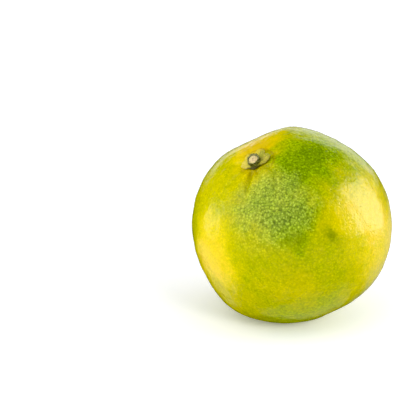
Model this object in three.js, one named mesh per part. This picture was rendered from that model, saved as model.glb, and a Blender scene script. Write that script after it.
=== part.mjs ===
// A mandarin orange, whole and unpeeled, picked while its peel is still turning from green to yellow.
// Three pieces: the fruit, the five-lobed calyx that sits on its stem end, and the cut stub of the stem.
// Units are millimetres and +Z is up. The fruit leans as it lies on a table, its stem end up and to the
// front left, and the origin is the middle of the small flat spot that it rests on.
import * as THREE from 'three';
import { mergeVertices } from 'three/addons/utils/BufferGeometryUtils.js';

const radians = THREE.MathUtils.degToRad;

// The fruit, in a frame of its own with its core along Z and the stem end up.
const equatorRadius = 35;
const crownHeight = 32.6;
const blossomHeight = 30.8;
const shoulderFullness = 2.2;
const lean = radians(35.3);
const leanHeading = radians(-137.2);
const restSpotDepth = 1.1;

// Broad swellings and flats that make it lopsided. Each is centred at an angle from the stem end and an
// azimuth about the core, and fades away over its spread.
const swellings = [
  { name: 'hump behind the stem', polar: 45, azimuth: -157, spread: 20.5, height: 0.57 },
  { name: 'flat of the right shoulder', polar: 68, azimuth: 171, spread: 23, height: -1.43 },
  { name: 'flat of the left shoulder', polar: 38.5, azimuth: -128.5, spread: 18.5, height: -1.76 },
  { name: 'crest of the left shoulder', polar: 39, azimuth: -99.5, spread: 19.3, height: 0.76 },
  { name: 'left belly', polar: 106, azimuth: -14.5, spread: 18.5, height: 1.19 },
  { name: 'right belly', polar: 137, azimuth: 95, spread: 20, height: 0.96 },
  { name: 'flat of the blossom end', polar: 142, azimuth: 61, spread: 21.5, height: -0.7 },
  { name: 'underside', polar: 153, azimuth: 0, spread: 23.5, height: 0.48 },
  { name: 'back of the cheek', polar: 92, azimuth: -118, spread: 28, height: 0.6 },
];

// The stem end: a shallow seat for the calyx, with the peel drawn up round it in a ring of blunt folds.
const seatDepth = 0.7;
const seatRadius = 5.5;
const foldCount = 9;
const foldHeight = 0.35;
const foldRingRadius = 8.5;
const foldRingWidth = 3.2;

// Creases that run down the shoulders from the folds. Start and end are distances from the core.
const creases = [
  { azimuth: 20, start: 5, end: 17, width: 1.1, depth: 0.5 },
  { azimuth: 44, start: 5, end: 10, width: 0.9, depth: 0.4 },
  { azimuth: 92, start: 5, end: 14, width: 1.6, depth: 0.3 },
  { azimuth: 135, start: 6, end: 13, width: 1.3, depth: 0.35 },
  { azimuth: -170, start: 7, end: 18, width: 1.5, depth: 0.35 },
  { azimuth: -123, start: 6, end: 14, width: 1.2, depth: 0.35 },
  { azimuth: -72, start: 6, end: 16, width: 1.4, depth: 0.35 },
  { azimuth: -20, start: 5, end: 12, width: 1.2, depth: 0.3 },
];

// The blossom end: a shallow dimple with the small raised scar where the style dropped off.
const dimpleDepth = 1.1;
const dimpleRadius = 6.5;
const scarHeight = 0.5;
const scarRadius = 1.3;

// Rings of facets from end to end of the peel, closer together at both ends.
const peelSegments = 90;
const peelRings = 50;
const ringCrowding = 0.45;

// The calyx: five blunt lobes of unequal reach round a thicker middle, their tips lifted off the peel.
const gap = 0.3;
const lobes = [
  { azimuth: -55, reach: 5.2 },
  { azimuth: 28, reach: 4.0 },
  { azimuth: 138, reach: 5.8 },
  { azimuth: -167, reach: 6.1 },
  { azimuth: -113, reach: 5.6 },
];
const lobeHalfAngle = radians(45);
const cleftRadius = 3.2;
const calyxThickness = 0.6;
const calyxRimThickness = 0.36;
const bossRadius = 2.6;
const bossRise = 0.15;
const tipLift = 0.4;
const calyxSegments = 72;
const calyxRings = 7;

// The stub of the stem, a little flared at its foot, leaning toward its heading and cut on a slant. Its
// profile is in shares of its radius and height.
const stubRadius = 2.15;
const stubHeight = 1.45;
const stubProfile = [
  [0, 0], [0.8, 0], [1.08, 0], [1.1, 0.1], [1.03, 0.3], [0.98, 0.6], [1, 0.85],
  [0.96, 0.97], [0.84, 0.96], [0.78, 1], [0.5, 1.03], [0, 1.04],
];
const stubSegments = 36;
const stubHeading = radians(63);
const stubLean = 0.25;
const stubOvalness = 0.04;
const cutSlant = 0.1;

const bell = (distance, width) => Math.exp(-((distance / width) ** 2));
const easeIn = (share) => THREE.MathUtils.smoothstep(share, 0, 1);
const turnBetween = (a, b) => Math.abs(Math.atan2(Math.sin(a - b), Math.cos(a - b)));

function directionAt(polar, azimuth) {
  const across = Math.sin(polar);
  return new THREE.Vector3(across * Math.cos(azimuth), across * Math.sin(azimuth), Math.cos(polar));
}

// Height of the seat, the folds and the creases, by distance from the core along the peel.
function crownRelief(distance, azimuth) {
  const fold = 0.5 + 0.5 * Math.cos(foldCount * azimuth + Math.sin(2 * azimuth));
  let relief = foldHeight * fold * bell(distance - foldRingRadius, foldRingWidth);
  relief -= seatDepth * bell(distance, seatRadius);
  for (const crease of creases) {
    const turn = turnBetween(azimuth, radians(crease.azimuth));
    if (turn > Math.PI / 2) continue;
    const run = (distance - crease.start) / (crease.end - crease.start);
    const along = easeIn((distance - crease.start + 2) / 2) * (1 - easeIn(run));
    relief -= crease.depth * bell(distance * Math.sin(turn), crease.width) * along;
  }
  return relief;
}

function blossomRelief(distance) {
  return scarHeight * bell(distance, scarRadius) - dimpleDepth * bell(distance, dimpleRadius);
}

// Distance from the middle of the fruit to its peel in one direction.
function peelRadius(direction) {
  const polar = Math.acos(THREE.MathUtils.clamp(direction.z, -1, 1));
  const azimuth = Math.atan2(direction.y, direction.x);
  const across = Math.sin(polar) / equatorRadius;
  const along = Math.abs(direction.z) / (direction.z > 0 ? crownHeight : blossomHeight);
  let radius = (across ** shoulderFullness + along ** shoulderFullness) ** (-1 / shoulderFullness);
  for (const swelling of swellings) {
    const away = direction.angleTo(directionAt(radians(swelling.polar), radians(swelling.azimuth)));
    radius += swelling.height * bell(away, radians(swelling.spread));
  }
  radius += crownRelief(polar * crownHeight, azimuth);
  return radius + blossomRelief((Math.PI - polar) * blossomHeight);
}

// Height of the peel beside the core, at a distance straight out from it.
function peelHeight(fromCore, azimuth) {
  let polar = fromCore / crownHeight;
  for (let pass = 0; pass < 6; pass += 1) {
    polar = Math.asin(fromCore / peelRadius(directionAt(polar, azimuth)));
  }
  return peelRadius(directionAt(polar, azimuth)) * Math.cos(polar);
}

function moveVertices(geometry, place) {
  const positions = geometry.getAttribute('position');
  const point = new THREE.Vector3();
  for (let index = 0; index < positions.count; index += 1) {
    place(point.fromBufferAttribute(positions, index));
    positions.setXYZ(index, point.x, point.y, point.z);
  }
  return geometry;
}

// Joins the seam that a sphere or a turned shape has along one meridian.
function closed(geometry) {
  geometry.deleteAttribute('normal');
  geometry.deleteAttribute('uv');
  const joined = mergeVertices(geometry, 1e-4);
  joined.computeVertexNormals();
  return joined;
}

// A sphere of facets pushed out to the peel, then pressed flat where the fruit rests.
function fruitGeometry(upward) {
  const facets = new THREE.SphereGeometry(1, peelSegments, peelRings).rotateX(Math.PI / 2);
  let lowest = 0;
  moveVertices(facets, (point) => {
    const share = Math.acos(THREE.MathUtils.clamp(point.z, -1, 1)) / Math.PI;
    const polar = Math.PI * share - (ringCrowding / 2) * Math.sin(2 * Math.PI * share);
    const direction = directionAt(polar, Math.atan2(point.y, point.x));
    point.copy(direction).multiplyScalar(peelRadius(direction));
    lowest = Math.min(lowest, point.dot(upward));
  });
  const floor = lowest + restSpotDepth;
  moveVertices(facets, (point) => {
    point.addScaledVector(upward, Math.max(0, floor - point.dot(upward)));
  });
  return { peel: closed(facets), floor };
}

// Middle of the facets that lie wholly on the floor.
function restSpotMiddle(peel, upward, floor) {
  const positions = peel.getAttribute('position');
  const facet = new THREE.Triangle();
  const corner = new THREE.Vector3();
  const middle = new THREE.Vector3();
  let area = 0;
  for (let index = 0; index < peel.index.count; index += 3) {
    facet.setFromAttributeAndIndices(positions, ...peel.index.array.slice(index, index + 3));
    const highest = Math.max(facet.a.dot(upward), facet.b.dot(upward), facet.c.dot(upward));
    if (highest > floor + 1e-4) continue;
    middle.addScaledVector(facet.getMidpoint(corner), facet.getArea());
    area += facet.getArea();
  }
  return middle.divideScalar(area);
}

// How far the calyx reaches from the core.
function calyxReach(azimuth) {
  let reach = cleftRadius;
  for (const lobe of lobes) {
    const turn = Math.min(1, turnBetween(azimuth, radians(lobe.azimuth)) / lobeHalfAngle);
    const fullness = Math.cos((turn * Math.PI) / 2) ** 1.2;
    reach = Math.max(reach, THREE.MathUtils.lerp(cleftRadius, lobe.reach, fullness));
  }
  return reach;
}

// A disc of two skins, its rim drawn out into the lobes and its underside following the peel.
function calyxGeometry() {
  const profile = [];
  for (let ring = 0; ring <= calyxRings; ring += 1) {
    profile.push(new THREE.Vector2(ring / calyxRings, 0));
  }
  for (let ring = calyxRings; ring >= 0; ring -= 1) {
    profile.push(new THREE.Vector2(ring / calyxRings, 1));
  }
  const disc = new THREE.LatheGeometry(profile, calyxSegments).rotateX(Math.PI / 2);
  return closed(moveVertices(disc, (point) => {
    const azimuth = Math.atan2(point.y, point.x);
    const share = Math.hypot(point.x, point.y);
    const fromCore = share * calyxReach(azimuth);
    const boss = bossRise * (1 - easeIn(fromCore - bossRadius + 0.5));
    const thickness = THREE.MathUtils.lerp(calyxThickness, calyxRimThickness, share ** 2);
    const lift = tipLift * Math.max(0, fromCore / cleftRadius - 1) ** 2;
    const height = peelHeight(fromCore, azimuth) + gap + lift + point.z * (thickness + boss);
    point.set(fromCore * Math.cos(azimuth), fromCore * Math.sin(azimuth), height);
  }));
}

// A turned stub, sheared rather than tilted so that its foot stays level on the calyx.
function stubGeometry() {
  const profile = stubProfile.map(([across, up]) => {
    return new THREE.Vector2(across * stubRadius, up * stubHeight);
  });
  const turned = new THREE.LatheGeometry(profile, stubSegments).rotateX(Math.PI / 2);
  return closed(moveVertices(turned, (point) => {
    const oval = 1 + stubOvalness * Math.cos(2 * Math.atan2(point.y, point.x));
    const slant = 1 - cutSlant * (point.x / stubRadius);
    point.set(point.x * oval + stubLean * point.z, point.y * oval, point.z * slant);
  }));
}

function piece(name, geometry, material) {
  const mesh = new THREE.Mesh(geometry, new THREE.MeshStandardMaterial(material));
  mesh.name = name;
  return mesh;
}

const mandarin = new THREE.Group();
mandarin.rotation.set(0, lean, leanHeading, 'ZYX');
const upward = new THREE.Vector3(0, 0, 1).applyQuaternion(mandarin.quaternion.clone().invert());
const { peel, floor } = fruitGeometry(upward);
mandarin.position.copy(restSpotMiddle(peel, upward, floor)).negate().applyQuaternion(mandarin.quaternion);
mandarin.add(piece('fruit', peel, { color: '#c3bd1c', roughness: 0.42, metalness: 0 }));
mandarin.add(piece('calyx', calyxGeometry(), { color: '#b5ae5c', roughness: 0.7, metalness: 0 }));

const stub = piece('stem', stubGeometry(), { color: '#8f8a55', roughness: 0.75, metalness: 0 });
stub.position.z = peelHeight(0, 0) + gap + calyxThickness + bossRise + gap;
stub.rotation.z = stubHeading;
mandarin.add(stub);

export default mandarin;
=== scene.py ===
import math

import bpy
from mathutils import Euler, Matrix, Vector, noise


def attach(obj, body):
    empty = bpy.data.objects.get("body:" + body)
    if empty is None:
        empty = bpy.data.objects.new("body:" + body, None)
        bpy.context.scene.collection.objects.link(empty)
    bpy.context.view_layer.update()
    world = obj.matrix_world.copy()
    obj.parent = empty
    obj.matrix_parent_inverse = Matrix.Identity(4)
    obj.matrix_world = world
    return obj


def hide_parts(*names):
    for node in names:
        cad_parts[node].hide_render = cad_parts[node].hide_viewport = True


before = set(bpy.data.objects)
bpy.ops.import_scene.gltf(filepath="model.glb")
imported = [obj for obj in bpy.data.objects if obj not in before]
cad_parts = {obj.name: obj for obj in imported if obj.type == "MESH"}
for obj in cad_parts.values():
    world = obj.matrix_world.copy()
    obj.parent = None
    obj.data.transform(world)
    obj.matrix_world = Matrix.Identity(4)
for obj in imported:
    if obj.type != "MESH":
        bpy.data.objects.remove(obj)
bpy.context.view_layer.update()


# The fruit in its peel. It grew as one lopsided body inside a thin leathery rind full of oil glands, and
# it is still turning from green to yellow. A fine ball is drawn onto the built form, then dimpled and
# roughened as the rind is.
FRUIT_CENTRE = Vector((0.003499, 0.002743, 0.032476))
EQUATOR_RADIUS = 0.035
# The core leans from upright toward the camera and to its left.
CORE_TURN = Euler((0, math.radians(35.3), math.radians(-137.2)))
CORE_AXES = CORE_TURN.to_matrix()


def select_only(piece):
    bpy.ops.object.select_all(action="DESELECT")
    piece.select_set(True)
    bpy.context.view_layer.objects.active = piece


def apply_modifier(piece, kind, **settings):
    """Adds a modifier to a piece and applies it at once."""
    select_only(piece)
    modifier = piece.modifiers.new(kind.lower(), kind)
    for field, value in settings.items():
        setattr(modifier, field, value)
    bpy.ops.object.modifier_apply(modifier=modifier.name)


def copy_of_node(node, name, rounds):
    """A welded copy of one of the built solids, rounded off, to shape a finer piece by."""
    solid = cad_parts[node]
    copy = solid.copy()
    copy.data = solid.data.copy()
    copy.data.materials.clear()
    copy.name = name
    bpy.context.collection.objects.link(copy)
    select_only(copy)
    bpy.ops.object.mode_set(mode="EDIT")
    bpy.ops.mesh.select_all(action="SELECT")
    bpy.ops.mesh.remove_doubles(threshold=2e-6)
    widest_fold = math.radians(60)
    bpy.ops.mesh.tris_convert_to_quads(face_threshold=widest_fold, shape_threshold=widest_fold)
    bpy.ops.object.mode_set(mode="OBJECT")
    apply_modifier(copy, "SUBSURF", levels=rounds, render_levels=rounds)
    return copy


fruit_form = copy_of_node("fruit", "fruit_form", rounds=2)
bpy.ops.mesh.primitive_ico_sphere_add(subdivisions=5, radius=EQUATOR_RADIUS, location=FRUIT_CENTRE)
peel = bpy.context.object
peel.name = "peel"
bpy.ops.object.mode_set(mode="EDIT")
bpy.ops.mesh.select_all(action="SELECT")
bpy.ops.mesh.subdivide(number_cuts=5)
bpy.ops.object.mode_set(mode="OBJECT")
bpy.ops.object.transform_apply(location=True)
apply_modifier(
    peel, "SHRINKWRAP", target=fruit_form, wrap_method="PROJECT", use_negative_direction=True,
)
bpy.data.objects.remove(fruit_form)


def ease(low, high, value):
    """0 at low, 1 at high, a soft curve between, and no change beyond them."""
    share = max(0.0, min(1.0, (value - low) / (high - low)))
    return share * share * (3 - 2 * share)


def bell(distance, width):
    return math.exp(-((distance / width) ** 2))


def weigh(piece, name, weight_at):
    """A vertex group whose weight at each point comes from its place."""
    group = piece.vertex_groups.new(name=name)
    for vertex in piece.data.vertices:
        group.add([vertex.index], max(0.0, min(1.0, weight_at(vertex.co))), "REPLACE")
    return name


def clear_of_floor(point):
    """Keeps the flat spot flat: 0 on the floor and 1 from a few millimetres up."""
    return ease(0.0003, 0.004, point.z)


# The uneven growth of the rind: the size of its swellings and how much they rise and sink, in metres.
UNEVENNESS = (
    ("broad unevenness", 0.013, 0.0006),
    ("small unevenness", 0.0042, 0.0003),
)
off_floor = weigh(peel, "off the floor", clear_of_floor)
for name, size, height in UNEVENNESS:
    clouds = bpy.data.textures.new(name, "CLOUDS")
    clouds.noise_scale = size
    clouds.noise_depth = 1
    apply_modifier(
        peel, "DISPLACE", texture=clouds, texture_coords="LOCAL", strength=height, mid_level=0.5,
        vertex_group=off_floor,
    )


def in_fruit(point):
    """A point in millimetres from the middle of the fruit, with the core along Z."""
    return CORE_AXES.transposed() @ (point - FRUIT_CENTRE) * 1000


def heading(azimuth):
    """The way an azimuth about the core points, in degrees."""
    turn = math.radians(azimuth)
    return Vector((math.cos(turn), math.sin(turn)))


# Grooves that run down from the calyx, each through points given by azimuth about the core (degrees)
# and distance from it (millimetres), with its half width and its share of the full depth.
GROOVES = (
    (((14, 4), (20, 8), (21, 16)), 0.85, 1.0),
    (((92, 5.5), (80, 10), (66, 15.5)), 0.9, 0.7),
    (((42, 4), (46, 7)), 0.6, 0.8),
    (((150, 6), (143, 10), (150, 14)), 1.0, 0.4),
    (((-160, 7), (-168, 12), (-160, 17)), 1.1, 0.5),
    (((-118, 6), (-124, 10), (-118, 15)), 1.0, 0.45),
    (((-74, 6), (-68, 10), (-73, 16)), 1.1, 0.4),
    (((-30, 5), (-24, 10)), 0.8, 0.4),
)
GROOVE_DEPTH = 0.0008
BULGE_MIDDLE = Vector((4.6, 8.2))
BULGE_WIDTH = 3.6
BULGE_HEIGHT = 0.0006
RELIEF_EDGE = 21


def round_the_stem(place):
    return place.z >= 0 and place.xy.length <= RELIEF_EDGE


def groove_depth(place):
    """How deep a point lies in the grooves round the stem, from 0 to 1."""
    deepest = 0.0
    if not round_the_stem(place):
        return deepest
    for turns, width, share_of_depth in GROOVES:
        spots = [heading(azimuth) * reach for azimuth, reach in turns]
        fading = 1 - ease(0.4, 1.05, place.xy.length / spots[-1].length)
        for start, end in zip(spots, spots[1:]):
            run = end - start
            share = max(0.0, min(1.0, (place.xy - start).dot(run) / run.length_squared))
            away = (place.xy - start - share * run).length
            deepest = max(deepest, bell(away, width) * share_of_depth * (0.2 + 0.8 * fading))
    return deepest


def bulge_height(place):
    """The blunt swelling of the rind between the two front grooves, from 0 to 1."""
    return bell((place.xy - BULGE_MIDDLE).length, BULGE_WIDTH) if round_the_stem(place) else 0.0


grooves = weigh(peel, "grooves", lambda point: groove_depth(in_fruit(point)))
apply_modifier(peel, "DISPLACE", strength=-GROOVE_DEPTH, mid_level=0, vertex_group=grooves)
groove_share = peel.data.attributes.new("groove share", "FLOAT", "POINT")
for vertex in peel.data.vertices:
    groove_share.data[vertex.index].value = groove_depth(in_fruit(vertex.co))
bulge = weigh(peel, "bulge", lambda point: bulge_height(in_fruit(point)))
apply_modifier(peel, "DISPLACE", strength=BULGE_HEIGHT, mid_level=0, vertex_group=bulge)

# The whole rind is a little pebbled. Below the stem it is coarse, in full where it faces this way from
# the middle of the fruit, within the first angle in degrees, and fading out at the second.
PEBBLED_WAY = Vector((-0.25, -0.83, 0.5))
PEBBLED_FULL, PEBBLED_FADED = 12, 32
PEBBLE_SIZE = 0.0014
PEBBLE_HEIGHT = 0.00026
LEAST_PEBBLED = 0.35


def pebble_share(point):
    angle = math.degrees((point - FRUIT_CENTRE).angle(PEBBLED_WAY))
    coarse = 1 - ease(PEBBLED_FULL, PEBBLED_FADED, angle)
    return clear_of_floor(point) * (LEAST_PEBBLED + (1 - LEAST_PEBBLED) * coarse)


pebbled = weigh(peel, "pebbled rind", pebble_share)
pebbles = bpy.data.textures.new("pebbles", "VORONOI")
pebbles.noise_scale = PEBBLE_SIZE
apply_modifier(
    peel, "DISPLACE", texture=pebbles, texture_coords="LOCAL", strength=-PEBBLE_HEIGHT, mid_level=0.5,
    vertex_group=pebbled,
)
bpy.ops.object.shade_smooth()


def fill(tree, node, inputs):
    """Fills a node's inputs with values or with other nodes' outputs."""
    for socket, value in inputs.items():
        if isinstance(value, bpy.types.NodeSocket):
            tree.links.new(value, node.inputs[socket])
        else:
            node.inputs[socket].default_value = value


def add_node(tree, kind, inputs=None, **settings):
    """Adds a node, sets its fields and fills its inputs."""
    node = tree.nodes.new(kind)
    for field, value in settings.items():
        setattr(node, field, value)
    fill(tree, node, inputs or {})
    return node


def math_node(tree, operation, *values):
    return add_node(tree, "ShaderNodeMath", dict(enumerate(values)), operation=operation).outputs[0]


def times(tree, first, *others):
    """The product of some values."""
    for other in others:
        first = math_node(tree, "MULTIPLY", first, other)
    return first


def plus(tree, total, value, share=1.0):
    """A total with a share of another value added to it."""
    return math_node(tree, "MULTIPLY_ADD", value, share, total)


def spread(tree, value, low, high, to_low=0.0, to_high=1.0):
    """Maps a range of values softly onto another."""
    inputs = {"Value": value, "From Min": low, "From Max": high, "To Min": to_low, "To Max": to_high}
    node = add_node(tree, "ShaderNodeMapRange", inputs, interpolation_type="SMOOTHSTEP")
    return node.outputs["Result"]


def vector_math(tree, operation, *vectors):
    """Works out a vector, or one value where the operation gives a length or a dot product."""
    node = add_node(tree, "ShaderNodeVectorMath", dict(enumerate(vectors)), operation=operation)
    return node.outputs["Value" if operation in ("LENGTH", "DOT_PRODUCT") else "Vector"]


def split(tree, vector):
    return add_node(tree, "ShaderNodeSeparateXYZ", {"Vector": vector}).outputs


def sideways(tree, x, y):
    """The part of a place that lies across a frame's Z."""
    return add_node(tree, "ShaderNodeCombineXYZ", {"X": x, "Y": y}).outputs["Vector"]


def cloud(tree, vector, size, detail=3.0, roughness=0.5, output="Fac"):
    """Soft noise with blotches of about one size."""
    inputs = {"Vector": vector, "Scale": 1 / size, "Detail": detail, "Roughness": roughness}
    return add_node(tree, "ShaderNodeTexNoise", inputs).outputs[output]


def cells(tree, vector, size):
    """A pattern of cells of about one size."""
    return add_node(tree, "ShaderNodeTexVoronoi", {"Vector": vector, "Scale": 1 / size}).outputs


def centred(tree, value):
    """Noise that lies about a half, moved to lie about zero."""
    return math_node(tree, "SUBTRACT", value, 0.5)


def drift(tree, vector, place, size, amount, detail):
    """Pushes a vector about by noise, so that what is laid out by it gets uneven edges."""
    push = cloud(tree, place, size, detail, output="Color")
    push = vector_math(tree, "SUBTRACT", push, (0.5, 0.5, 0.5))
    return vector_math(tree, "MULTIPLY_ADD", push, (amount, amount, amount), vector)


def own_frame(tree, centre, turn=(0, 0, 0)):
    """Object coordinates in millimetres from a centre, turned to a frame of the part's own."""
    place = add_node(tree, "ShaderNodeTexCoord").outputs["Object"]
    inputs = {"Vector": place, "Location": centre, "Rotation": turn, "Scale": (0.001, 0.001, 0.001)}
    return add_node(tree, "ShaderNodeMapping", inputs, vector_type="TEXTURE").outputs["Vector"]


def stored(tree, name):
    """A share that was stored with the mesh."""
    return add_node(tree, "ShaderNodeAttribute", attribute_name=name).outputs["Fac"]


def blend(tree, share, first, second, mode="MIX"):
    """Lays a share of the second colour over the first."""
    node = add_node(tree, "ShaderNodeMix", data_type="RGBA", blend_type=mode)
    colours = {6: first, 7: second}
    for socket, colour in colours.items():
        if isinstance(colour, tuple):
            colours[socket] = (*colour, 1)
    fill(tree, node, {0: share, **colours})
    return node.outputs[2]


def shade(tree, colour, brightness):
    return blend(tree, 1.0, colour, brightness, "MULTIPLY")


def colour_ramp(tree, value, stops):
    """A run of colours along a value, from the first stop to the last."""
    ramp = add_node(tree, "ShaderNodeValToRGB", {"Fac": value})
    elements = ramp.color_ramp.elements
    elements.remove(elements[1])
    elements[0].position = stops[0][0]
    elements[0].color = (*stops[0][1], 1)
    for position, colour in stops[1:]:
        elements.new(position).color = (*colour, 1)
    return ramp.outputs["Color"]


def raised(tree, height, strength, distance):
    """The fine relief of a surface, up to a distance in metres."""
    inputs = {"Height": height, "Strength": strength, "Distance": distance}
    return add_node(tree, "ShaderNodeBump", inputs).outputs["Normal"]


def new_material(name):
    material = bpy.data.materials.new(name)
    material.use_nodes = True
    return material, material.node_tree, material.node_tree.nodes["Principled BSDF"]


def new_group(name, inputs, outputs):
    """An empty shader group, with the names and kinds of its sockets."""
    group = bpy.data.node_groups.new(name, "ShaderNodeTree")
    for side, sockets in (("INPUT", inputs), ("OUTPUT", outputs)):
        for socket, kind in sockets.items():
            group.interface.new_socket(socket, in_out=side, socket_type="NodeSocket" + kind)
    return group, group.nodes.new("NodeGroupInput").outputs, group.nodes.new("NodeGroupOutput")


def new_patch_group():
    """Shader group: how fully a direction lies within a patch, with a soft edge."""
    inputs = {"Direction": "Vector", "Middle": "Vector", "Full Within": "Float", "Faded At": "Float"}
    group, given, result = new_group("patch of rind", inputs, {"Mask": "Float"})
    angle = vector_math(group, "DOT_PRODUCT", given["Direction"], given["Middle"])
    angle = math_node(group, "ARCCOSINE", angle)
    fill(group, result, {"Mask": spread(group, angle, given["Faded At"], given["Full Within"])})
    return group


patch_group = new_patch_group()


def patch_mask(tree, direction, middle, full_within, faded_at, label=""):
    """A patch of rind that faces a way, full within one angle in degrees and faded out at another."""
    inputs = {
        "Direction": direction,
        "Middle": Vector(middle).normalized(),
        "Full Within": math.radians(full_within),
        "Faded At": math.radians(faded_at),
    }
    patch = add_node(tree, "ShaderNodeGroup", inputs, node_tree=patch_group, label=label)
    return patch.outputs["Mask"]


# Patches of the rind that ripen early (above zero) or late (below), by the way they face from the
# middle of the fruit, with the angles in degrees that each is full within and has faded at.
RIPENING = (
    ("left cheek", (-0.82, -0.57, -0.04), 7, 29, 0.38),
    ("lower left cheek", (-0.74, -0.5, -0.45), 4, 32, 0.23),
    ("left shoulder", (-0.8, -0.3, 0.5), 6, 30, 0.12),
    ("back of the stem", (-0.4, -0.05, 0.92), 6, 24, 0.5),
    ("round the stem", (-0.47, -0.42, 0.78), 6, 17, 0.24),
    ("right cheek", (0.86, -0.5, 0.02), 8, 44, 0.38),
    ("middle right", (0.41, -0.82, 0.4), 4, 17, 0.2),
    ("right of the middle", (0.68, -0.62, 0.4), 8, 24, 0.18),
    ("underside front", (-0.08, -0.9, -0.36), 4, 22, 0.14),
    ("top", (0.08, -0.52, 0.85), 8, 27, -0.42),
    ("below the stem", (-0.22, -0.84, 0.46), 8, 26, -0.24),
    ("front", (-0.03, -0.95, 0.3), 4, 22, -0.2),
    ("right shoulder", (0.42, -0.1, 0.9), 6, 40, -0.14),
    ("underside", (-0.05, -0.7, -0.75), 4, 22, -0.1),
    ("lower right", (0.32, -0.8, -0.52), 3, 16, -0.08),
    ("fleck right of the middle", (0.33, -0.92, 0.21), 1.5, 7, -0.24),
    ("fleck in the middle", (0.01, -0.99, 0.14), 1.5, 8, -0.2),
    ("low right", (0.55, -0.72, -0.42), 3, 20, 0.08),
    ("lime low", (0.2, -0.96, 0.24), 2, 9, 0.14),
    ("right shoulder band", (0.72, -0.35, 0.6), 3, 14, 0.16),
    ("green band", (0.34, -0.55, 0.76), 2, 12, 0.2),
    ("back", (-0.3, 0.9, 0.3), 12, 50, -0.32),
    ("back right", (0.75, 0.6, -0.2), 10, 40, 0.3),
    ("back left", (-0.85, 0.5, -0.2), 8, 34, 0.16),
)
HALF_RIPE = 0.5
# The rind's colour from its greenest at 0 to its ripest at 1.
RIND_COLOURS = (
    (0.0, (0.16, 0.27, 0.0)),
    (0.2, (0.265, 0.385, 0.0)),
    (0.4, (0.39, 0.455, 0.0)),
    (0.55, (0.50, 0.49, 0.0)),
    (0.7, (0.63, 0.56, 0.0)),
    (0.85, (0.77, 0.63, 0.004)),
    (1.0, (0.88, 0.65, 0.02)),
)
# How the edges of the patches wander: the size of the noise in millimetres, how far it pushes the
# direction, and its detail.
PATCH_DRIFTS = ((16, 0.28, 2.0), (8, 0.3, 3.0), (4.5, 0.1, 3.0))
# Sizes of the rind's patterns in millimetres.
MOTTLE_SIZE = 3.6
GLAND_SPACING = 0.78
PORE_SPACING = 1.1
FINE_GRAIN_SIZE = 0.85
SOFT_GRAIN_SIZE = 1 / 1.3
FROST_SIZE = 2.4
BLEMISH_SPACING = 7.0

peel_material, tree, shader = new_material("ripening peel")
millimetres = own_frame(tree, FRUIT_CENTRE)
direction = vector_math(tree, "NORMALIZE", millimetres)
for size, amount, detail in PATCH_DRIFTS:
    direction = drift(tree, direction, millimetres, size, amount, detail)
direction = vector_math(tree, "NORMALIZE", direction)

ripeness = HALF_RIPE
for name, middle, full_within, faded_at, change in RIPENING:
    mask = patch_mask(tree, direction, middle, full_within, faded_at, label=name)
    ripeness = plus(tree, ripeness, mask, change)
mottle = cloud(tree, millimetres, MOTTLE_SIZE, detail=4.0)
ripeness = plus(tree, ripeness, centred(tree, mottle), 0.3)

# The oil glands: each lies in a cell of its own and shows as a dome, some brighter than others.
coarse = patch_mask(tree, direction, PEBBLED_WAY, PEBBLED_FULL, PEBBLED_FADED, label="pebbled rind")
gland_place = drift(tree, millimetres, millimetres, 3.0, 0.8, 1.0)
gland_cells = cells(tree, gland_place, GLAND_SPACING)
gland_dome = spread(tree, gland_cells["Distance"], 0.66, 0.1)
gland_bright = add_node(tree, "ShaderNodeSeparateColor", {0: gland_cells["Color"]}).outputs["Red"]
fine_grain = cloud(tree, millimetres, FINE_GRAIN_SIZE, roughness=0.65)
gland_dot = times(tree, gland_dome, plus(tree, 0.45, gland_bright, 0.5))
gland_dot = plus(tree, gland_dot, centred(tree, fine_grain), 2.4)
gland_dot = math_node(tree, "SUBTRACT", gland_dot, 0.18)
ripeness = plus(tree, ripeness, gland_dot, 0.08)

# The glands show up more where the rind is green, and more again on the pebbled rind, partly as painted
# highlights on their domes.
# The pebbled rind is mottled in clouds, and a painted highlight pales it, palest on its glands.
FROSTED_HIGHLIGHT_GREEN = (0.56, 0.61, 0.14)
rind_colour = colour_ramp(tree, ripeness, RIND_COLOURS)
greenness = spread(tree, ripeness, 0.75, 0.12)
# Partly painted highlight: the glands stand out more on the pebbled rind.
gland_contrast_and_glint = plus(tree, plus(tree, 0.16, coarse, 0.28), greenness, 0.5)
rind_colour = shade(tree, rind_colour, plus(tree, 1.0, gland_dot, gland_contrast_and_glint))
frost = times(tree, centred(tree, cloud(tree, millimetres, FROST_SIZE, roughness=0.6)), coarse)
rind_colour = shade(tree, rind_colour, plus(tree, 1.0, frost, 0.75))
# Painted highlight: the pebbled rind is paled, most on the domes of its glands.
frosted_highlight = times(tree, coarse, spread(tree, gland_dot, -0.3, 0.9, 0.03, 0.36))
rind_colour = blend(tree, frosted_highlight, rind_colour, FROSTED_HIGHLIGHT_GREEN)

# Dull olive spots and a pinprick, where the rind was bruised or stung: the way each faces, the angles
# in degrees that it is full within and has faded at, and its share of the dull colour.
DULL_SPOTS = (
    ((0.335, -0.92, 0.2), 1.5, 8, 0.55),
    ((-0.01, -0.99, 0.13), 1.0, 7, 0.35),
    ((-0.207, -0.853, -0.478), 0.3, 1.3, 0.7),
    ((-0.6, 0.75, -0.1), 1.5, 8, 0.5),
    ((0.85, 0.3, 0.35), 1.0, 6, 0.4),
)
DULL_OLIVE = (0.20, 0.20, 0.0)
for middle, full_within, faded_at, share in DULL_SPOTS:
    spot = times(tree, patch_mask(tree, direction, middle, full_within, faded_at), share)
    rind_colour = blend(tree, spot, rind_colour, DULL_OLIVE)

# Painted shade: the rind is darker towards the bottom, and the grooves are painted a darker green than
# the rind round them.
GROOVE_SHADE_GREEN = (0.25, 0.30, 0.0)
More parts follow.
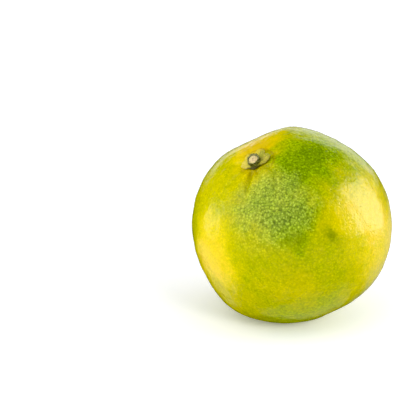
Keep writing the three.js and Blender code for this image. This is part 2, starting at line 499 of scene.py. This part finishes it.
# Painted shade: the rind is darkened towards the bottom.
underside_painted_shade = spread(tree, split(tree, direction)["Z"], 0.1, -0.6)
rind_colour = shade(tree, rind_colour, plus(tree, 1.0, underside_painted_shade, -0.11))
# Painted shade: the grooves are darkened to a deeper green.
rind_colour = blend(tree, times(tree, stored(tree, "groove share"), 0.42), rind_colour, GROOVE_SHADE_GREEN)

# The tanned rind behind the stem, a painted shadow arc beside the calyx, painted shade on the rind under
# it, the scar at the blossom end, and the few pinpoint blemishes that any rind has.
TANNED_YELLOW = (0.68, 0.47, 0.006)
CALYX_SHADOW_BROWN = (0.30, 0.20, 0.012)
UNDER_CALYX_SHADE_BROWN = (0.42, 0.30, 0.012)
SCAR_BROWN = (0.16, 0.085, 0.02)
BLEMISH_BROWN = (0.20, 0.14, 0.01)
TANNED_WAY = (-0.38, -0.1, 0.92)
ARC_RADIUS = 6.9
core_place = split(tree, own_frame(tree, FRUIT_CENTRE, CORE_TURN))
from_core = vector_math(tree, "LENGTH", sideways(tree, core_place["X"], core_place["Y"]))
from_core = plus(tree, from_core, centred(tree, mottle), 4.0)
stem_side = spread(tree, core_place["Z"], 0.0, 5.0)
blossom_side = spread(tree, core_place["Z"], -5.0, -20.0)
left_of_core = spread(tree, core_place["X"], 1.0, -3.0)
off_arc = math_node(tree, "ABSOLUTE", math_node(tree, "SUBTRACT", from_core, ARC_RADIUS))
blemish_away = cells(tree, millimetres, BLEMISH_SPACING)["Distance"]
for mask, colour in (
    (times(tree, patch_mask(tree, direction, TANNED_WAY, 5, 18), 0.7), TANNED_YELLOW),
    # Painted shadow: a dark arc on the rind beside the calyx.
    (times(tree, spread(tree, off_arc, 0.7, 0.1), stem_side, left_of_core, 0.45), CALYX_SHADOW_BROWN),
    # Painted shade: the rind under the calyx is darkened.
    (times(tree, spread(tree, from_core, 6.2, 4.2), stem_side, 0.35), UNDER_CALYX_SHADE_BROWN),
    (times(tree, spread(tree, from_core, 2.0, 0.9), blossom_side), SCAR_BROWN),
    (times(tree, spread(tree, blemish_away, 0.06, 0.035), 0.6), BLEMISH_BROWN),
):
    rind_colour = blend(tree, mask, rind_colour, colour)

# The relief too fine for the mesh: a faint grain, the rise of each gland, and pores between them.
soft_grain = cloud(tree, millimetres, SOFT_GRAIN_SIZE, detail=2.0)
pore = spread(tree, cells(tree, gland_place, PORE_SPACING)["Distance"], 0.32, 0.1)
height = times(tree, gland_dome, plus(tree, 0.25, coarse, 0.9))
height = plus(tree, height, soft_grain, 0.2)
height = plus(tree, height, pore, -0.5)

fill(tree, shader, {
    "Base Color": rind_colour,
    "Normal": raised(tree, height, 1.0, 0.0001),
    "Roughness": plus(tree, plus(tree, 0.17, mottle, 0.06), coarse, 0.16),
    "Specular IOR Level": 0.34,
    "Subsurface Weight": 0.06,
    "Subsurface Radius": (1.0, 0.7, 0.2),
    "Subsurface Scale": 0.0015,
})

peel.data.materials.append(peel_material)
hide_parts("fruit")
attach(peel, "root")


# The calyx: the five-lobed green cup that held the flower, dried to a thin leathery star that still
# grips the stem end. Its lobes are ribbed, their rims have curled up and gone brown, and one lobe has
# withered away almost to the stem.
WITHERED_LOBE = 34
LOBE_HALF_TURN = 45
CLEFT_REACH = 3.2
# Each lobe's azimuth about the core in degrees, and how far its tip reaches in millimetres.
LOBES = ((-55, 5.2), (28, 4.0), (138, 5.8), (-167, 6.1), (-113, 5.6))


def turn_between(first, second):
    """The smaller angle between two azimuths in degrees."""
    return abs((first - second + 180) % 360 - 180)


def calyx_reach(azimuth):
    """How far the calyx reaches from the core at an azimuth."""
    reach = CLEFT_REACH
    for middle, tip in LOBES:
        share = min(1.0, turn_between(azimuth, middle) / LOBE_HALF_TURN)
        reach = max(reach, CLEFT_REACH + (tip - CLEFT_REACH) * math.cos(share * math.pi / 2) ** 1.2)
    return reach


def rib_height(azimuth, away, rim):
    """The midrib of each lobe and the fainter vein beside it, from 0 to 1."""
    rib = 0.0
    for middle, _ in LOBES:
        turn = math.radians(turn_between(azimuth, middle))
        if turn < math.pi / 2:
            off_midrib = away * math.sin(turn)
            rib = max(rib, bell(off_midrib, 0.32), 0.5 * bell(off_midrib - 0.25 * away, 0.22))
    return rib * ease(0.3, 0.5, rim) * (1 - ease(0.85, 1.05, rim))


calyx = copy_of_node("calyx", "calyx_star", rounds=2)
rim_share = calyx.data.attributes.new("rim share", "FLOAT", "POINT")
rib_share = calyx.data.attributes.new("rib share", "FLOAT", "POINT")
for vertex in calyx.data.vertices:
    spot = in_fruit(vertex.co)
    azimuth = math.degrees(math.atan2(spot.y, spot.x))
    away = spot.xy.length
    outward = heading(azimuth).to_3d()
    rim = away / calyx_reach(azimuth)
    rib = rib_height(azimuth, away, rim)
    wrinkle = noise.noise(outward * 5 + Vector((0, 0, away * 0.5))) * ease(0.4, 0.9, rim)
    rag = noise.noise(outward * 7 + Vector((0, 0, 3.0))) * ease(0.7, 1.0, rim)
    curl = noise.noise(outward * 2.2 + Vector((0, 0, 7.0)))
    shrunk = ease(60, 20, turn_between(azimuth, WITHERED_LOBE)) * ease(0.6, 1.0, rim)
    spot += outward * (0.32 * rag - 0.7 * shrunk)
    spot.z += 0.13 * rib + 0.22 * wrinkle + (0.1 + 0.4 * curl) * ease(0.7, 1.1, rim)
    rim_share.data[vertex.index].value = rim
    rib_share.data[vertex.index].value = rib
    vertex.co = FRUIT_CENTRE + CORE_AXES @ spot / 1000
bpy.ops.object.shade_smooth()



def new_dry_grain_group():
    """Shader group: the blotches and the finer flecks of dried skin and wood."""
    inputs = {"Place": "Vector", "Blotch Size": "Float", "Fleck Size": "Float"}
    group, given, result = new_group("dry grain", inputs, {"Blotches": "Float", "Flecks": "Float"})
    for pattern, size in (("Blotches", "Blotch Size"), ("Flecks", "Fleck Size")):
        scale = math_node(group, "DIVIDE", 1.0, given[size])
        inputs = {"Vector": given["Place"], "Scale": scale, "Detail": 3.0}
        noise_node = add_node(group, "ShaderNodeTexNoise", inputs)
        fill(group, result, {pattern: noise_node.outputs["Fac"]})
    return group


dry_grain_group = new_dry_grain_group()


def dry_grain(tree, place, blotch_size, fleck_size):
    """The blotches and flecks of a dried surface, by their sizes in millimetres."""
    inputs = {"Place": place, "Blotch Size": blotch_size, "Fleck Size": fleck_size}
    grain = add_node(tree, "ShaderNodeGroup", inputs, node_tree=dry_grain_group).outputs
    return grain["Blotches"], grain["Flecks"]


# The leathery skin is darker by the stem, as painted shade, paler along the ribs, browned at the rim,
# and speckled with dry fibre.
DRY_GREEN, DRY_YELLOW = (0.40, 0.41, 0.018), (0.60, 0.53, 0.04)
RIB_YELLOW = (0.66, 0.60, 0.09)
RIM_BROWN = (0.27, 0.18, 0.03)
STEM_SHADE_BROWN = (0.20, 0.17, 0.03)
FIBRE_BROWN = (0.17, 0.13, 0.02)
# The lobes that differ in colour, and the painted shadow on the withered lobe: azimuth, the reach in
# millimetres where the tint starts and where it is full, its share and its colour.
LOBE_TINTS_AND_SHADOW = (
    (-113, 2.2, 3.4, 0.65, (0.76, 0.58, 0.015)),
    (-50, 2.4, 3.4, 0.8, (0.78, 0.64, 0.075)),
    # Painted shadow: the withered lobe is tinted near black.
    (WITHERED_LOBE, 1.6, 2.6, 0.9, (0.05, 0.04, 0.01)),
)

calyx_material, tree, shader = new_material("dried calyx")
in_core = own_frame(tree, FRUIT_CENTRE, CORE_TURN)
rim = stored(tree, "rim share")
rib = stored(tree, "rib share")
blotch, fibre = dry_grain(tree, in_core, blotch_size=1.4, fleck_size=0.35)
uneven_rim = plus(tree, math_node(tree, "SUBTRACT", rim, 0.15), blotch, 0.3)
leathery = blend(tree, spread(tree, blotch, 0.4, 0.62), DRY_GREEN, DRY_YELLOW)
for mask, colour in (
    (times(tree, rib, 0.5), RIB_YELLOW),
    (times(tree, spread(tree, uneven_rim, 0.9, 1.02), 0.85), RIM_BROWN),
    # Painted shade: the skin is darkened towards the stem.
    (times(tree, spread(tree, rim, 0.62, 0.42), 0.45), STEM_SHADE_BROWN),
    (times(tree, spread(tree, fibre, 0.52, 0.36), 0.55), FIBRE_BROWN),
):
    leathery = blend(tree, mask, leathery, colour)
for azimuth, start, full, share, colour in LOBE_TINTS_AND_SHADOW:
    along = vector_math(tree, "DOT_PRODUCT", in_core, heading(azimuth).to_3d())
    leathery = blend(tree, times(tree, spread(tree, along, start, full), share), leathery, colour)

fill(tree, shader, {
    "Base Color": leathery,
    "Normal": raised(tree, plus(tree, fibre, rib, 0.6), 0.8, 0.00012),
    "Roughness": spread(tree, blotch, 0.3, 0.7, 0.5, 0.68),
    "Specular IOR Level": 0.3,
})

calyx.data.materials.append(calyx_material)
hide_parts("calyx")
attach(calyx, "root")


# The stub of the stem: a twig as thick as a pencil lead, snipped off just above the calyx. A collar of
# rough olive-brown bark stands a little proud of the pale, slightly domed face of wood.
STUB_FOOT = FRUIT_CENTRE + CORE_AXES @ Vector((0, 0, 33.244)) / 1000
STUB_AXES = CORE_AXES @ Matrix.Rotation(math.radians(63), 3, "Z")
STUB_RADIUS = 2.15
STUB_HEIGHT = 1.45
STUB_LEAN = 0.25
STUB_SUNK = 0.27
CUT_DROP = 0.42
cut_low_side = (STUB_AXES.transposed() @ Vector((0.2, -0.6, -0.8))).xy.normalized()

stub = copy_of_node("stem", "stem_stub", rounds=3)
for vertex in stub.data.vertices:
    spot = STUB_AXES.transposed() @ (vertex.co - STUB_FOOT) * 1000
    spot.x -= STUB_LEAN * spot.z
    away = spot.xy.length
    outward = spot.xy.normalized().to_3d() if away > 1e-6 else Vector((1, 0, 0))
    up_share = spot.z / STUB_HEIGHT
    in_bark = ease(0.75, 0.95, away / STUB_RADIUS)
    near_cut = ease(0.6, 0.9, up_share)
    ridge = noise.noise(outward * 3.4 + Vector((0, 0, spot.z * 0.35)))
    flake = noise.noise(spot * 1.9 + Vector((9, 0, 0)))
    spot += outward * in_bark * (0.3 * ridge + 0.16 * flake) * (1 - 0.4 * ease(0.8, 1.0, up_share))
    lip = 0.16 * bell(away - 1.85, 0.28) * (1 + 1.5 * ridge)
    moat = 0.16 * bell(away - 1.45, 0.22)
    spot.z += near_cut * (lip - moat)
    spot.z -= near_cut * CUT_DROP * spot.xy.dot(cut_low_side) / STUB_RADIUS
    pith_hollow = 0.12 * bell(away, 0.3)
    spot.z += near_cut * (1 - in_bark) * (0.1 * noise.noise(spot * 1.7) - pith_hollow)
    spot.z -= STUB_SUNK * (1 - ease(0.0, 0.4, up_share))
    spot.x += STUB_LEAN * spot.z
    vertex.co = STUB_FOOT + STUB_AXES @ spot / 1000
bpy.ops.object.shade_smooth()

# Pale ringed wood with a darker pith, in a collar of olive bark with a paler lip at the cut. The radii
# are in millimetres.
WOOD_TAN, WOOD_CREAM = (0.83, 0.64, 0.33), (0.75, 0.66, 0.25)
RING_BROWN = (0.42, 0.30, 0.12)
SPECK_BROWN = (0.24, 0.17, 0.06)
PITH_BROWN = (0.34, 0.22, 0.08)
BARK_DARK, BARK_OLIVE = (0.045, 0.047, 0.006), (0.15, 0.15, 0.015)
BARK_FLECK = (0.36, 0.36, 0.14)
LIP_OLIVE = (0.44, 0.43, 0.18)
FACE_RADIUS = 1.5
FACE_EDGE = 1.66
LIP_RADIUS = 1.95

stub_material, tree, shader = new_material("cut stem")
in_stub = own_frame(tree, STUB_FOOT, STUB_AXES.to_euler())
stub_place = split(tree, in_stub)
upright_x = plus(tree, stub_place["X"], stub_place["Z"], -STUB_LEAN)
across = sideways(tree, upright_x, stub_place["Y"])
from_axis = vector_math(tree, "LENGTH", across)
pith = (*(0.3 * cut_low_side), 0)
from_pith = vector_math(tree, "LENGTH", vector_math(tree, "SUBTRACT", across, pith))
blotch, speckle = dry_grain(tree, in_stub, blotch_size=0.9, fleck_size=0.28)
uneven_reach = plus(tree, math_node(tree, "SUBTRACT", from_pith, 0.25), blotch, 0.5)
rings = math_node(tree, "SINE", times(tree, uneven_reach, 16.0))

wood = blend(tree, spread(tree, blotch, 0.38, 0.62), WOOD_TAN, WOOD_CREAM)
wood = blend(tree, spread(tree, rings, 0.2, 1.0, 0.0, 0.22), wood, RING_BROWN)
wood = blend(tree, spread(tree, speckle, 0.47, 0.32, 0.0, 0.85), wood, SPECK_BROWN)
wood = blend(tree, spread(tree, from_axis, 0.42, 0.2, 0.0, 0.7), wood, PITH_BROWN)
bark = blend(tree, spread(tree, blotch, 0.4, 0.64), BARK_DARK, BARK_OLIVE)
bark = blend(tree, spread(tree, speckle, 0.55, 0.68, 0.0, 0.8), bark, BARK_FLECK)
off_lip = math_node(tree, "ABSOLUTE", math_node(tree, "SUBTRACT", uneven_reach, LIP_RADIUS))
by_the_cut = spread(tree, stub_place["Z"], 0.9, 1.2)
bark = blend(tree, times(tree, spread(tree, off_lip, 0.16, 0.05), by_the_cut, 0.6), bark, LIP_OLIVE)
on_face = times(
    tree, spread(tree, uneven_reach, FACE_EDGE, FACE_RADIUS), spread(tree, stub_place["Z"], 0.6, 0.85),
)

fill(tree, shader, {
    "Base Color": blend(tree, on_face, bark, wood),
    "Normal": raised(tree, plus(tree, times(tree, rings, 0.06), speckle), 0.9, 0.00014),
    "Roughness": spread(tree, on_face, 0.0, 1.0, 0.74, 0.6),
    "Specular IOR Level": 0.28,
})

stub.data.materials.append(stub_material)
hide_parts("stem")
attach(stub, "root")


# The studio: a plain white floor that glows a little, more so away from the fruit, soft fill lights
# that the gloss doesn't show, and soft panels round the fruit that only the gloss shows. The camera
# looks down on it from the front, as in the photo.
NEAR, FAR = 0.12, 0.6
NEAR_GLOW, FAR_GLOW = 0.2, 0.55

bpy.ops.mesh.primitive_plane_add(size=8)
floor = bpy.context.object
floor.name = "floor"
floor.visible_glossy = False
floor_material, tree, shader = new_material("white floor")
from_fruit = vector_math(tree, "LENGTH", add_node(tree, "ShaderNodeTexCoord").outputs["Object"])
fill(tree, shader, {
    "Base Color": (0.92, 0.93, 0.97, 1),
    "Roughness": 0.9,
    "Specular IOR Level": 0.1,
    "Emission Color": spread(tree, from_fruit, NEAR, FAR, NEAR_GLOW, FAR_GLOW),
    "Emission Strength": 1.0,
})
floor.data.materials.append(floor_material)

world = bpy.data.worlds.new("studio air")
world.use_nodes = True
fill(world.node_tree, world.node_tree.nodes["Background"], {"Color": (1, 1, 1, 1), "Strength": 0.4})
world.cycles_visibility.glossy = False
bpy.context.scene.world = world


def panel(name, turn, rise, distance, size, radiance, in_gloss):
    """A soft rectangular light facing the fruit, placed by its turn from +Y and its rise in degrees.
    It either shows in the gloss alone or lights the colours alone, as flagged panels in a studio do."""
    turn, rise = math.radians(turn), math.radians(rise)
    way = Vector((math.sin(turn) * math.cos(rise), math.cos(turn) * math.cos(rise), math.sin(rise)))
    data = bpy.data.lights.new(name, "AREA")
    data.shape = "RECTANGLE"
    data.size, data.size_y = size
    data.energy = radiance * size[0] * size[1] * math.pi
    light = bpy.data.objects.new(name, data)
    light.location = FRUIT_CENTRE + way * distance
    light.rotation_euler = way.to_track_quat("Z", "Y").to_euler()
    light.visible_glossy = in_gloss
    light.visible_diffuse = not in_gloss
    bpy.context.collection.objects.link(light)
    return light


def light_only(light, name, pieces):
    """Keeps a light off everything but some pieces, as black flags would."""
    lit = bpy.data.collections.new(name)
    for piece in pieces:
        lit.objects.link(piece)
    light.light_linking.receiver_collection = lit


# Turn, rise, distance and size in metres, and radiance of each panel.
panel("overhead fill", 0, 85, 1.2, (1.6, 1.6), 0.62, in_gloss=False)
panel("right fill", 88, 26, 0.8, (0.9, 0.75), 1.5, in_gloss=False)
panel("front left fill", -122, 38, 1.0, (1.5, 1.0), 1.0, in_gloss=False)
left_fill = panel("left fill", -85, 20, 0.9, (0.6, 0.5), 2.35, in_gloss=False)
floor_wash = panel("floor wash", 150, 27, 0.9, (0.3, 0.3), 12.0, in_gloss=False)
light_only(floor_wash, "washed floor", (floor,))
light_only(left_fill, "flagged off the floor", (peel, calyx, stub))
GLOSS_PANELS = (
    ("right softbox", 95, 16, 0.8, (0.34, 0.72), 5.0),
    ("right softbox edge", 72, 12, 0.8, (0.34, 0.64), 3.3),
    ("front left softbox", -122, 38, 1.0, (1.5, 1.0), 2.1),
    ("left strip", -72, 4, 0.8, (0.3, 0.3), 1.9),
    ("right floor shine", 52, -24, 0.8, (0.9, 0.4), 0.5),
    ("left floor shine", -58, -36, 0.8, (0.5, 0.5), 0.65),
    ("under shine", 60, -75, 0.8, (0.7, 0.7), 0.45),
    ("backdrop", 24, 18, 1.0, (0.75, 0.6), 1.35),
    ("low backdrop", -14, 7, 1.0, (0.6, 0.2), 1.3),
)
for name, turn, rise, distance, size, radiance in GLOSS_PANELS:
    panel(name, turn, rise, distance, size, radiance, in_gloss=True)

CAMERA_FROM_FRUIT = Vector((-0.03242, -0.44782, 0.14631))
CAMERA_LOOKS_DOWN = 17
lens = bpy.data.cameras.new("camera")
lens.lens = 120
lens.sensor_width = 36
camera = bpy.data.objects.new("camera", lens)
camera.location = FRUIT_CENTRE + CAMERA_FROM_FRUIT
camera.rotation_euler = (math.radians(90 - CAMERA_LOOKS_DOWN), 0, 0)
bpy.context.collection.objects.link(camera)
bpy.context.scene.camera = camera
view = bpy.context.scene.view_settings
view.view_transform = "Standard"
view.use_curve_mapping = True
view.curve_mapping.black_level = (0.0, 0.0, 0.01)
view.curve_mapping.update()
